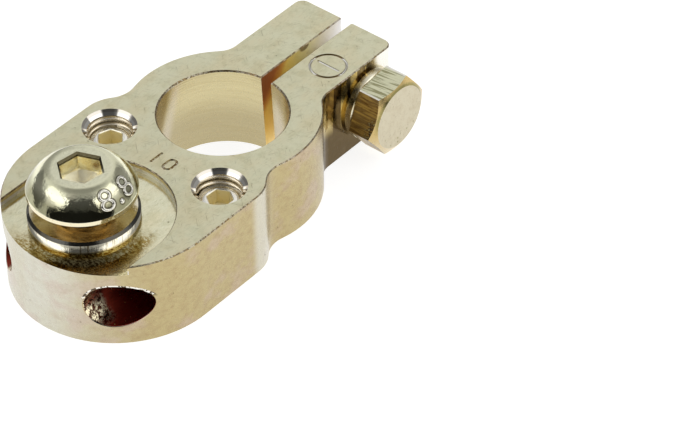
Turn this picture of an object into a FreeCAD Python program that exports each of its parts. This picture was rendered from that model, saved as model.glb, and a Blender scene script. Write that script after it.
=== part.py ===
import FreeCAD, Part
import math
import os

# Battery terminal clamp, in millimetres
# Origin: the axis of the post bore where it meets the bottom face
# +X towards the side with the bolt head, +Y towards the ears, +Z up

os.makedirs("parts", exist_ok=True)

V = FreeCAD.Vector
X = V(1, 0, 0)
Y = V(0, 1, 0)
Z = V(0, 0, 1)
ORIGIN = V(0, 0, 0)

# Named clearances
THREAD_GAP = 0.03
WASHER_GAP = 0.1
CUT_OVER = 1.0

# Body, seen from above
THICKNESS = 12.5
RING_R = 13.0
EAR_HALF = 8.0
EAR_END_Y = 25.25
EAR_CORNER_R = 1.4
SLIT_CORNER_R = 0.3
EAR_ROOT_R = 3.0
SLIT_WIDTH = 1.7
TAIL_R = 14.45
TAIL_CENTRE_Y = -20.46
SHOULDER_Y = -10.0
SHOULDER_OUTER_R = 5.0
SHOULDER_INNER_R = 4.0
EDGE_BREAK = 0.15

# Post bore: a short straight land at the mouth, then the usual taper of 1 in 9
POST_TOP_R = 8.6
POST_TAPER = 1.0 / 9.0
POST_LAND = 1.0
POST_BREAK = 0.2

# Recess on top of the tail, a little to one side, as on the real one
RECESS_DEPTH = 1.2
RECESS_HALF = 10.5
RECESS_X = 0.3
RECESS_BEHIND_TAIL = 4.64
RECESS_ARC_Y = TAIL_CENTRE_Y - RECESS_BEHIND_TAIL
RECESS_BREAK = 0.12

# Cable bores and the grub screws above them
CABLE_TO_SIDE = 5.05
CABLE_X = TAIL_R - CABLE_TO_SIDE
CABLE_Z = 6.1
CABLE_R = 3.25
CABLE_STEP_Y = -15.0
CABLE_INNER_R = 3.05
CABLE_END_Y = -8.3
CABLE_MOUTH_BREAK = 0.12
DRILL_POINT_DEG = 118.0
GRUB_Y = -11.4
GRUB_THREAD_R = 3.0
GRUB_MOUTH_R = 3.62
GRUB_LENGTH = 5.0
GRUB_BELOW_TOP = 1.9
GRUB_SOCKET_AF = 3.0
GRUB_SOCKET_DEPTH = 2.2
GRUB_SOCKET_BEVEL = 0.12
GRUB_TOP_BREAK = 0.35
GRUB_POINT_R = 0.75
GRUB_TURN_DEG = (12.0, 27.0)

# Lug screw with a domed head, and its spring washer
LUG_X = -0.5
LUG_BEHIND_TAIL = 5.24
LUG_Y = TAIL_CENTRE_Y - LUG_BEHIND_TAIL
LUG_THREAD_R = 4.0
LUG_LENGTH = 12.0
LUG_HEAD_R = 7.05
LUG_HEAD_HEIGHT = 3.6
LUG_RIM_HEIGHT = 0.6
LUG_CROWN_R = 4.4
LUG_LIFT = 2.75
LUG_TIP_BREAK = 0.7
LUG_SOCKET_AF = 5.0
LUG_SOCKET_DEPTH = 2.5
LUG_SOCKET_BEVEL = 0.24
LUG_SOCKET_DEG = 21.8
LUG_WASHER_OUTER_R = 7.15
LUG_WASHER_THICK = 2.0
LUG_WASHER_SPLIT_DEG = 128.0

# Clamp bolt through the ears, and its spring washer
BOLT_FROM_END = 5.6
BOLT_Y = EAR_END_Y - BOLT_FROM_END
BOLT_Z = THICKNESS / 2
BOLT_THREAD_R = 3.0
BOLT_HOLE_R = 3.3
BOLT_LENGTH = 18.0
BOLT_AF = 10.0
BOLT_HEAD_HEIGHT = 4.0
BOLT_CHAMFER_DEG = 30.0
BOLT_CHAMFER_IN = 0.45
BOLT_TIP_BREAK = 0.6
BOLT_TURN_DEG = 37.5
BOLT_WASHER_OUTER_R = 5.0
BOLT_WASHER_THICK = 1.6
BOLT_WASHER_SPLIT_DEG = 45.0
SPLIT_WIDTH = 1.0
SPLIT_LEAN_DEG = 20.0
WASHER_BREAK = 0.35

# Marks: a minus in a ring and a plain number
MARK_DEPTH = 0.15
MARK_STROKE = 0.36
MINUS_BEHIND_BOLT = 3.62
MINUS_X = (EAR_HALF + SLIT_WIDTH / 2) / 2
MINUS_Y = BOLT_Y - MINUS_BEHIND_BOLT
MINUS_R = 2.44
MINUS_HALF = 1.65
NUMBER_HEIGHT = 2.4
NUMBER_PITCH = 2.3
NUMBER_X = 0.6
NUMBER_Y = -12.2


def at(centre, radius, degrees):
    """The point at an angle on a circle in the XY plane."""
    a = math.radians(degrees)
    return V(centre.x + radius * math.cos(a), centre.y + radius * math.sin(a), centre.z)


def bearing(start, end):
    """The direction from one point to another, in degrees from +X."""
    return math.degrees(math.atan2(end.y - start.y, end.x - start.x))


def arc(centre, radius, start_deg, end_deg):
    """A circular edge between two angles."""
    middle = at(centre, radius, (start_deg + end_deg) / 2)
    return Part.Arc(at(centre, radius, start_deg), middle, at(centre, radius, end_deg)).toShape()


def turned(profile, base=ORIGIN, axis=Z):
    """A solid of revolution about Z from (radius, height) points, then laid along an axis at a base."""
    face = Part.Face(Part.makePolygon([V(r, 0, z) for r, z in profile + profile[:1]]))
    return laid(face.revolve(ORIGIN, Z, 360), base, axis)


def laid(shape, base, axis, turn_deg=0.0):
    """Turn a shape made along Z about Z, lay it along an axis and move it to a base."""
    placed = shape.copy()
    placed.rotate(ORIGIN, Z, turn_deg)
    placed.Placement = FreeCAD.Placement(base, FreeCAD.Rotation(Z, axis)).multiply(placed.Placement)
    return placed


def hexagon(across_flats, height):
    """A hexagonal prism on the XY plane with a corner on +X."""
    radius = across_flats / 2 / math.cos(math.radians(30))
    corners = [at(ORIGIN, radius, 60 * n) for n in range(7)]
    return Part.Face(Part.makePolygon(corners)).extrude(V(0, 0, height))


def with_socket(blank, height, across_flats, depth, bevel):
    """A blank with a hexagon socket cut down from its flat top, its floor a cone and its mouth bevelled."""
    inner = across_flats / 2
    floor = height - depth
    prism = hexagon(across_flats, depth + CUT_OVER).translated(V(0, 0, floor))
    point = turned([(0, floor - inner / math.sqrt(3)), (inner, floor), (0, floor)])
    cut = blank.cut([prism, point])
    mouth = [e for e in cut.Edges if isinstance(e.Curve, Part.Line) and e.BoundBox.ZMin > height - bevel]
    return cut.makeChamfer(bevel, mouth)


def spring_washer(inner_r, outer_r, thick, split_deg):
    """A flat split ring on the XY plane, its outer corners broken and its ends cut at a lean."""
    ring = turned([
        (inner_r, 0),
        (outer_r - WASHER_BREAK, 0),
        (outer_r, WASHER_BREAK),
        (outer_r, thick - WASHER_BREAK),
        (outer_r - WASHER_BREAK, thick),
        (inner_r, thick),
    ])
    gap = Part.makeBox(outer_r + CUT_OVER, SPLIT_WIDTH, thick * 3, V(0, -SPLIT_WIDTH / 2, -thick * 1.5))
    gap.rotate(ORIGIN, X, SPLIT_LEAN_DEG)
    gap.translate(V(0, 0, thick / 2))
    gap.rotate(ORIGIN, Z, split_deg)
    return ring.cut(gap)


def stroke(start, end, width, height):
    """A round-ended bar between two points, standing up from their plane."""
    side = (end - start).cross(Z).normalize() * (width / 2)
    along = (end - start).normalize() * (width / 2)
    edges = [
        Part.makeLine(start + side, end + side),
        Part.Arc(end + side, end + along, end - side).toShape(),
        Part.makeLine(end - side, start - side),
        Part.Arc(start - side, start - along, start + side).toShape(),
    ]
    return Part.Face(Part.Wire(edges)).extrude(V(0, 0, height))


def hoop(centre, radius, width, height):
    """A round line of a width, standing up from its plane."""
    outside = Part.makeCylinder(radius + width / 2, height, centre)
    return outside.cut(Part.makeCylinder(radius - width / 2, height, centre))


def oval(centre, half_width, half_height, width, height):
    """A line round a straight-sided oval, standing up from its plane."""
    reach = V(0, half_height - half_width, 0)
    outside = stroke(centre - reach, centre + reach, 2 * half_width + width, height)
    return outside.cut(stroke(centre - reach, centre + reach, 2 * half_width - width, height))


def body_outline():
    """The body's outline with its slit, as one closed wire built from tangent arcs."""
    shoulder = V(TAIL_R - SHOULDER_OUTER_R, SHOULDER_Y, 0)
    to_ring = RING_R + SHOULDER_INNER_R
    apart = SHOULDER_OUTER_R + SHOULDER_INNER_R
    spread = math.acos((to_ring**2 + shoulder.Length**2 - apart**2) / (2 * to_ring * shoulder.Length))
    waist = at(ORIGIN, to_ring, bearing(ORIGIN, shoulder) + math.degrees(spread))
    root_x = EAR_HALF + EAR_ROOT_R
    root = V(root_x, math.sqrt((RING_R + EAR_ROOT_R)**2 - root_x**2), 0)
    corner = V(EAR_HALF - EAR_CORNER_R, EAR_END_Y - EAR_CORNER_R, 0)
    lip = V(SLIT_WIDTH / 2 + SLIT_CORNER_R, EAR_END_Y - SLIT_CORNER_R, 0)
    tail = V(0, TAIL_CENTRE_Y, 0)
    joined = bearing(shoulder, waist)
    half = [
        arc(tail, TAIL_R, -90, 0),
        Part.makeLine(at(tail, TAIL_R, 0), at(shoulder, SHOULDER_OUTER_R, 0)),
        arc(shoulder, SHOULDER_OUTER_R, 0, joined),
        arc(waist, SHOULDER_INNER_R, joined + 180, bearing(waist, ORIGIN) % 360),
        arc(ORIGIN, RING_R, bearing(ORIGIN, waist), bearing(ORIGIN, root)),
        arc(root, EAR_ROOT_R, bearing(root, ORIGIN) % 360, 180),
        Part.makeLine(at(root, EAR_ROOT_R, 180), at(corner, EAR_CORNER_R, 0)),
        arc(corner, EAR_CORNER_R, 0, 90),
        Part.makeLine(at(corner, EAR_CORNER_R, 90), at(lip, SLIT_CORNER_R, 90)),
        arc(lip, SLIT_CORNER_R, 90, 180),
        Part.makeLine(at(lip, SLIT_CORNER_R, 180), V(SLIT_WIDTH / 2, 0, 0)),
    ]
    bridge = Part.makeLine(V(SLIT_WIDTH / 2, 0, 0), V(-SLIT_WIDTH / 2, 0, 0))
    other = [edge.mirror(ORIGIN, X) for edge in half]
    return Part.Wire(Part.__sortEdges__(half + [bridge] + other))


def body_blank():
    """The outline pulled up to the full thickness, its top edges broken."""
    blank = Part.Face(body_outline()).extrude(V(0, 0, THICKNESS))
    top_edges = [e for e in blank.Edges if min(v.Z for v in e.Vertexes) > THICKNESS - EDGE_BREAK]
    return blank.makeChamfer(EDGE_BREAK, top_edges)


def post_bore_radius(z):
    """The post bore's radius at a height."""
    return POST_TOP_R + (THICKNESS - max(z, POST_LAND)) * POST_TAPER / 2


def post_bore():
    """The cutter for the post bore."""
    mouth = post_bore_radius(0)
    neck = post_bore_radius(THICKNESS - POST_BREAK)
    return turned([
        (0, -CUT_OVER),
        (mouth, -CUT_OVER),
        (mouth, POST_LAND),
        (neck, THICKNESS - POST_BREAK),
        (neck + POST_BREAK + CUT_OVER, THICKNESS + CUT_OVER),
        (0, THICKNESS + CUT_OVER),
    ])


def recess():
    """The cutter for the U-shaped recess, open to the front, its top edge broken."""
    floor = THICKNESS - RECESS_DEPTH
    front = TAIL_CENTRE_Y - TAIL_R - CUT_OVER
    run = RECESS_ARC_Y - front
    centre = V(0, RECESS_ARC_Y, floor)
    end = Part.makeCylinder(RECESS_HALF, RECESS_DEPTH + CUT_OVER, centre)
    length = Part.makeBox(2 * RECESS_HALF, run, RECESS_DEPTH + CUT_OVER, V(-RECESS_HALF, front, floor))
    lip = THICKNESS - RECESS_BREAK
    wide = RECESS_HALF + RECESS_BREAK + CUT_OVER
    flare = Part.makeCone(RECESS_HALF, wide, RECESS_BREAK + CUT_OVER, V(0, RECESS_ARC_Y, lip))
    section = Part.makePolygon([
        V(-RECESS_HALF, front, lip),
        V(RECESS_HALF, front, lip),
        V(wide, front, THICKNESS + CUT_OVER),
        V(-wide, front, THICKNESS + CUT_OVER),
        V(-RECESS_HALF, front, lip),
    ])
    sides = Part.Face(section).extrude(V(0, run, 0))
    return end.multiFuse([length, flare, sides]).translated(V(RECESS_X, 0, 0))


def cable_bore(x):
    """The cutter for one blind cable bore, with a wider entry and a drill point."""
    deep = CABLE_INNER_R / math.tan(math.radians(DRILL_POINT_DEG / 2))
    front = TAIL_CENTRE_Y - TAIL_R - CUT_OVER
    return turned([
        (0, CABLE_END_Y + deep),
        (CABLE_INNER_R, CABLE_END_Y),
        (CABLE_INNER_R, CABLE_STEP_Y),
        (CABLE_R, CABLE_STEP_Y),
        (CABLE_R, front),
        (0, front),
    ], V(x, 0, CABLE_Z), Y)


def grub_hole(x):
    """The cutter for one threaded grub-screw hole with its conical mouth."""
    flare = GRUB_MOUTH_R - GRUB_THREAD_R
    return turned([
        (0, CABLE_Z),
        (GRUB_THREAD_R, CABLE_Z),
        (GRUB_THREAD_R, THICKNESS - flare),
        (GRUB_MOUTH_R + CUT_OVER, THICKNESS + CUT_OVER),
        (0, THICKNESS + CUT_OVER),
    ], V(x, GRUB_Y, 0))


def marks():
    """The cutters for the polarity mark and the plain number."""
    z = THICKNESS - MARK_DEPTH
    height = MARK_DEPTH + CUT_OVER
    ring = V(MINUS_X, MINUS_Y, z)
    left = V(MINUS_X - MINUS_HALF, MINUS_Y, z)
    right = V(MINUS_X + MINUS_HALF, MINUS_Y, z)
    one = V(NUMBER_X - NUMBER_PITCH / 2, NUMBER_Y, z)
    nought = V(NUMBER_X + NUMBER_PITCH / 2, NUMBER_Y, z)
    half = V(0, (NUMBER_HEIGHT - MARK_STROKE) / 2, 0)
    return [
        hoop(ring, MINUS_R, MARK_STROKE, height),
        stroke(left, right, MARK_STROKE, height),
        stroke(one - half, one + half, MARK_STROKE, height),
        oval(nought, NUMBER_HEIGHT / 4, half.y, MARK_STROKE, height),
    ]


def with_cable_bores(blank):
    """The blank with both cable bores cut and the edges of their slanting mouths broken."""
    bored = blank.cut([cable_bore(-CABLE_X), cable_bore(CABLE_X)])
    mouths = []
    for edge in bored.Edges:
        box = edge.BoundBox
        across = box.ZMin > CABLE_Z - CABLE_R - THREAD_GAP and box.ZMax < CABLE_Z + CABLE_R + THREAD_GAP
        if across and box.YMax < CABLE_STEP_Y and box.YLength > CABLE_R and box.ZLength > CABLE_R:
            mouths.append(edge)
    return bored.makeChamfer(CABLE_MOUTH_BREAK, mouths)


def clamp_body():
    """The clamp's body, one piece."""
    floor = THICKNESS - RECESS_DEPTH
    lug_hole = Part.makeCylinder(LUG_THREAD_R, floor + 2 * CUT_OVER, V(LUG_X, LUG_Y, -CUT_OVER))
    near_ear = EAR_HALF + CUT_OVER
    bolt_hole = Part.makeCylinder(BOLT_HOLE_R, near_ear, V(0, BOLT_Y, BOLT_Z), X)
    bolt_thread = Part.makeCylinder(BOLT_THREAD_R, near_ear, V(0, BOLT_Y, BOLT_Z), -X)
    grub_holes = [grub_hole(-CABLE_X), grub_hole(CABLE_X)]
    cutters = [post_bore(), recess(), lug_hole, bolt_hole, bolt_thread] + grub_holes
    return with_cable_bores(body_blank()).cut(cutters).cut(marks())


def grub_screw(x, turn_deg):
    """One grub screw with a blunted cone point, standing in its hole."""
    radius = GRUB_THREAD_R - THREAD_GAP
    blank = turned([
        (0, 0),
        (GRUB_POINT_R, 0),
        (radius, radius - GRUB_POINT_R),
        (radius, GRUB_LENGTH - GRUB_TOP_BREAK),
        (radius - GRUB_TOP_BREAK, GRUB_LENGTH),
        (0, GRUB_LENGTH),
    ])
    screw = with_socket(blank, GRUB_LENGTH, GRUB_SOCKET_AF, GRUB_SOCKET_DEPTH, GRUB_SOCKET_BEVEL)
    bottom = THICKNESS - GRUB_BELOW_TOP - GRUB_LENGTH
    return laid(screw, V(x, GRUB_Y, bottom), Z, turn_deg)


def dome():
    """The head's domed blank on z = 0, with a low rim and a flat crown."""
    rise = LUG_HEAD_HEIGHT - LUG_RIM_HEIGHT
    drop = (LUG_HEAD_R**2 - LUG_CROWN_R**2 - rise**2) / (2 * rise)
    centre = V(0, 0, LUG_RIM_HEIGHT - drop)
    ball = Part.makeSphere(math.hypot(LUG_HEAD_R, drop), centre)
    return ball.common(Part.makeCylinder(LUG_HEAD_R, LUG_HEAD_HEIGHT))


def lug_screw():
    """The lug screw, its head lifted above the spring washer."""
    shank_r = LUG_THREAD_R - THREAD_GAP
    shank = turned([
        (0, -LUG_LENGTH),
        (shank_r - LUG_TIP_BREAK, -LUG_LENGTH),
        (shank_r, -LUG_LENGTH + LUG_TIP_BREAK),
        (shank_r, 0),
        (0, 0),
    ])
    blank = dome().fuse(shank)
    screw = with_socket(blank, LUG_HEAD_HEIGHT, LUG_SOCKET_AF, LUG_SOCKET_DEPTH, LUG_SOCKET_BEVEL)
    seat = THICKNESS - RECESS_DEPTH + LUG_WASHER_THICK + LUG_LIFT
    return laid(screw, V(LUG_X, LUG_Y, seat), Z, LUG_SOCKET_DEG)


def clamp_bolt():
    """The hexagon bolt that draws the ears together."""
    corner_r = BOLT_AF / 2 / math.cos(math.radians(30))
    crown_r = BOLT_AF / 2 - BOLT_CHAMFER_IN
    slope = (corner_r - crown_r) * math.tan(math.radians(BOLT_CHAMFER_DEG))
    lathe = turned([
        (0, 0),
        (corner_r, 0),
        (corner_r, BOLT_HEAD_HEIGHT - slope),
        (crown_r, BOLT_HEAD_HEIGHT),
        (0, BOLT_HEAD_HEIGHT),
    ])
    head = hexagon(BOLT_AF, BOLT_HEAD_HEIGHT).common(lathe)
    shank_r = BOLT_THREAD_R - THREAD_GAP
    shank = turned([
        (0, -BOLT_LENGTH),
        (shank_r - BOLT_TIP_BREAK, -BOLT_LENGTH),
        (shank_r, -BOLT_LENGTH + BOLT_TIP_BREAK),
        (shank_r, 0),
        (0, 0),
    ])
    seat = V(EAR_HALF + BOLT_WASHER_THICK, BOLT_Y, BOLT_Z)
    return laid(head.fuse(shank), seat, X, BOLT_TURN_DEG)


def lug_lock_washer():
    """The spring washer lying on the recess floor."""
    inner_r = LUG_THREAD_R + WASHER_GAP
    ring = spring_washer(inner_r, LUG_WASHER_OUTER_R, LUG_WASHER_THICK, LUG_WASHER_SPLIT_DEG)
    return laid(ring, V(LUG_X, LUG_Y, THICKNESS - RECESS_DEPTH), Z)


def clamp_lock_washer():
    """The spring washer between the ear and the bolt's head."""
    inner_r = BOLT_THREAD_R + WASHER_GAP / 2
    ring = spring_washer(inner_r, BOLT_WASHER_OUTER_R, BOLT_WASHER_THICK, BOLT_WASHER_SPLIT_DEG)
    return laid(ring, V(EAR_HALF, BOLT_Y, BOLT_Z), X)


def save(node, shape):
    """Write one node's solid."""
    solid = shape.Solids[0]
    print(node, len(shape.Solids), solid.isValid(), round(solid.Volume, 2), solid.BoundBox)
    solid.exportStep("parts/" + node + ".step")


save("clamp_body", clamp_body())
save("lug_screw", lug_screw())
save("lug_lock_washer", lug_lock_washer())
save("grub_screw_left", grub_screw(-CABLE_X, GRUB_TURN_DEG[0]))
save("grub_screw_right", grub_screw(CABLE_X, GRUB_TURN_DEG[1]))
save("clamp_bolt", clamp_bolt())
save("clamp_lock_washer", clamp_lock_washer())
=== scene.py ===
"""Looks of a battery terminal clamp: plated finishes, a raised number, a light table and a soft studio.

Lengths are in millimetres wherever a finish is described, and in metres where Blender needs them.
"""

import logging
import math
from collections.abc import Mapping
from dataclasses import dataclass, field
from enum import Enum
from typing import TypeAlias

import bmesh
import bpy
from mathutils import Matrix, Vector


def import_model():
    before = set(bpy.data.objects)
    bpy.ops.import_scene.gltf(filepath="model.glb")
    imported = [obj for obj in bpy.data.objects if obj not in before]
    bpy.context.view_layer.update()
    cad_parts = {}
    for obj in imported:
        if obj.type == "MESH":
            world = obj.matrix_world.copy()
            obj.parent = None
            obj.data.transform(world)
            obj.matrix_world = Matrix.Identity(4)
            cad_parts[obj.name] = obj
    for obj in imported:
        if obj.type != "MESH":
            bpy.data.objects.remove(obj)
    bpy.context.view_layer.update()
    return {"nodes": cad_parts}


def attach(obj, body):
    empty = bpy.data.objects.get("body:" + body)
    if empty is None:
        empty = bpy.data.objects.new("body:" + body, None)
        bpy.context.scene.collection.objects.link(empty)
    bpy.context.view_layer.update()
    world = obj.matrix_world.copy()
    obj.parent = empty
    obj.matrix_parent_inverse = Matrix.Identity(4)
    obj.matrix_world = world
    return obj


LOG = logging.getLogger("clamp")
MM = 0.001
TURN = 2 * math.pi
SLIT_BOUNCES = 12
M6_PITCH = 1.0
M8_PITCH = 1.25
# Level directions along which painted reflections, highlights and shade are laid out on the pieces.
PAINTED_LIGHT_ALONG = (0.77, 0.64)
PAINTED_LIGHT_AHEAD = (0.64, -0.77)
PAINTED_LIGHT_BACK = (-0.64, 0.77)
WHITE_LIGHT = (1.0, 1.0, 1.0, 1.0)

Rgb: TypeAlias = tuple[float, float, float]
Triple: TypeAlias = tuple[float, float, float]
Pair: TypeAlias = tuple[float, float]
Socket: TypeAlias = bpy.types.NodeSocket


class Side(Enum):
    """The two sides of the clamp, by the sign of X."""

    LEFT = -1
    RIGHT = 1


class Value:
    """A number that varies over a surface, with arithmetic that adds Math nodes."""

    def __init__(self, shader: "Shader", socket: Socket) -> None:
        """Wrap a float socket.

        Args:
            shader: The shader that the socket belongs to.
            socket: The output socket that gives the number.
        """
        self.shader = shader
        self.socket = socket

    def math(self, operation: str, *others: "Value | float", swap: bool = False) -> "Value":
        """Add one Math node.

        Args:
            operation: The Math node's operation.
            others: The operands after this one.
            swap: Whether this value is the second operand.

        Returns:
            The node's result.
        """
        operands = [self, *others]
        if swap:
            operands.reverse()
        node = self.shader.node("ShaderNodeMath", {"operation": operation}, dict(enumerate(operands)))
        return Value(self.shader, node.outputs[0])

    def __add__(self, other: "Value | float") -> "Value":
        """Add."""
        return self.math("ADD", other)

    __radd__ = __add__

    def __sub__(self, other: "Value | float") -> "Value":
        """Subtract."""
        return self.math("SUBTRACT", other)

    def __rsub__(self, other: float) -> "Value":
        """Subtract this from a number."""
        return self.math("SUBTRACT", other, swap=True)

    def __mul__(self, other: "Value | float") -> "Value":
        """Multiply."""
        return self.math("MULTIPLY", other)

    __rmul__ = __mul__

    def __truediv__(self, other: "Value | float") -> "Value":
        """Divide."""
        return self.math("DIVIDE", other)

    def __rtruediv__(self, other: float) -> "Value":
        """Divide a number by this."""
        return self.math("DIVIDE", other, swap=True)

    def __abs__(self) -> "Value":
        """Take the size without the sign."""
        return self.math("ABSOLUTE")

    def sine(self) -> "Value":
        """Take the sine."""
        return self.math("SINE")

    def root(self) -> "Value":
        """Take the square root."""
        return self.math("SQRT")

    def fraction(self) -> "Value":
        """Keep what is past the whole number."""
        return self.math("FRACT")

    def least(self, other: "Value | float") -> "Value":
        """Take the smaller of two."""
        return self.math("MINIMUM", other)

    def most(self, other: "Value | float") -> "Value":
        """Take the larger of two."""
        return self.math("MAXIMUM", other)

    def rise(self, low: float, high: float) -> "Value":
        """Go smoothly from 0 to 1.

        Args:
            low: Where it is still 0.
            high: Where it has reached 1. It may be the smaller one, and then it falls.

        Returns:
            A number from 0 to 1.
        """
        if low > high:
            return 1 - self.rise(high, low)
        settings = {"interpolation_type": "SMOOTHSTEP"}
        feeds = {"Value": self, "From Min": low, "From Max": high}
        return Value(self.shader, self.shader.node("ShaderNodeMapRange", settings, feeds).outputs[0])

    def between(self, low: float, high: float, soft: float) -> "Value":
        """Be 1 between two limits and 0 outside them.

        Args:
            low: The lower limit.
            high: The upper limit.
            soft: How far from a limit the change starts.

        Returns:
            A number from 0 to 1.
        """
        return self.rise(low - soft, low + soft) * self.rise(high + soft, high - soft)


Feed: TypeAlias = "Value | Socket | float | tuple[float, ...]"


class Shader:
    """A node tree under construction, for a material or for the world."""

    def __init__(self, tree: bpy.types.NodeTree) -> None:
        """Start from an emptied tree."""
        tree.nodes.clear()
        self.tree = tree

    def node(
        self, kind: str, settings: Mapping[str, object], feeds: Mapping[int | str, Feed]
    ) -> bpy.types.Node:
        """Add a node of any type.

        Args:
            kind: The node's type name.
            settings: Its own properties, which are set first. "stops" fills a colour ramp.
            feeds: What each input socket gets, by name or by number.

        Returns:
            The node.
        """
        node = self.tree.nodes.new(kind)
        for name, setting in settings.items():
            if name == "stops":
                self.fill_ramp(node.color_ramp, setting)
            else:
                setattr(node, name, setting)
        for key, feed in feeds.items():
            if isinstance(feed, Value):
                self.tree.links.new(feed.socket, node.inputs[key])
            elif isinstance(feed, Socket):
                self.tree.links.new(feed, node.inputs[key])
            else:
                node.inputs[key].default_value = feed
        return node

    @staticmethod
    def fill_ramp(ramp: bpy.types.ColorRamp, stops: list[tuple[float, Rgb]]) -> None:
        """Put stops on a colour ramp.

        Args:
            ramp: The ramp.
            stops: Each stop's place from 0 to 1 and its colour.
        """
        while len(ramp.elements) < len(stops):
            ramp.elements.new(1.0)
        for element, (place, tint) in zip(ramp.elements, stops):
            element.position = place
            element.color = (*tint, 1.0)

    def spread(self, vector: Socket) -> tuple[Value, Value, Value]:
        """Split a vector into its three numbers."""
        node = self.node("ShaderNodeSeparateXYZ", {}, {0: vector})
        x, y, z = (Value(self, output) for output in node.outputs)
        return x, y, z

    def scaled(self, vector: Socket, by: Triple) -> Socket:
        """Multiply a vector by three numbers."""
        return self.node("ShaderNodeVectorMath", {"operation": "MULTIPLY"}, {0: vector, 1: by}).outputs[0]

    def along(self, vector: Socket, direction: Triple) -> Value:
        """Measure how far a vector goes in a direction."""
        node = self.node("ShaderNodeVectorMath", {"operation": "DOT_PRODUCT"}, {0: vector, 1: direction})
        return Value(self, node.outputs["Value"])

    def noise(
        self, vector: Socket, size: Triple, detail: float = 3.0, rough: float = 0.55
    ) -> Value:
        """Make soft random variation.

        Args:
            vector: The place, in millimetres.
            size: How long one wave is along each axis, in millimetres.
            detail: How many finer layers it has.
            rough: How strong the finer layers are.

        Returns:
            A number from 0 to 1, about 0.5 on average.
        """
        stretched = self.scaled(vector, (1 / size[0], 1 / size[1], 1 / size[2]))
        feeds = {"Vector": stretched, "Scale": 1.0, "Detail": detail, "Roughness": rough}
        return Value(self, self.node("ShaderNodeTexNoise", {}, feeds).outputs[0])

    def ramp(self, place: Value, stops: list[tuple[float, Rgb]]) -> Socket:
        """Look up a colour along a run of colours."""
        return self.node("ShaderNodeValToRGB", {"stops": stops}, {0: place}).outputs[0]

    def mixed(self, share: Value | float, first: Feed, second: Feed) -> Socket:
        """Mix two colours.

        Args:
            share: How much of the second colour there is.
            first: The first colour, as a socket or three numbers.
            second: The second colour, in the same way.

        Returns:
            The mixed colour's socket.
        """
        feeds = {0: share, 6: self.opaque(first), 7: self.opaque(second)}
        return self.node("ShaderNodeMix", {"data_type": "RGBA"}, feeds).outputs[2]

    def layered(self, colour: Feed, *layers: tuple[Value | float, Feed]) -> Socket:
        """Lay colours over a first one, in order.

        Args:
            colour: The first colour.
            layers: The share and the colour of each layer over it.

        Returns:
            The mixed colour's socket.
        """
        for share, tint in layers:
            colour = self.mixed(share, colour, tint)
        return colour

    def shaded(self, share: Value | float, colour: Feed, by: Feed) -> Socket:
        """Multiply a colour by another one, in part.

        Args:
            share: How much of the change there is.
            colour: The colour.
            by: What multiplies it.

        Returns:
            The darkened colour's socket.
        """
        feeds = {0: share, 6: self.opaque(colour), 7: self.opaque(by)}
        settings = {"data_type": "RGBA", "blend_type": "MULTIPLY"}
        return self.node("ShaderNodeMix", settings, feeds).outputs[2]

    @staticmethod
    def opaque(colour: Feed) -> Feed:
        """Give a plain colour its fourth number."""
        return (*colour, 1.0) if isinstance(colour, tuple) else colour


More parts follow.
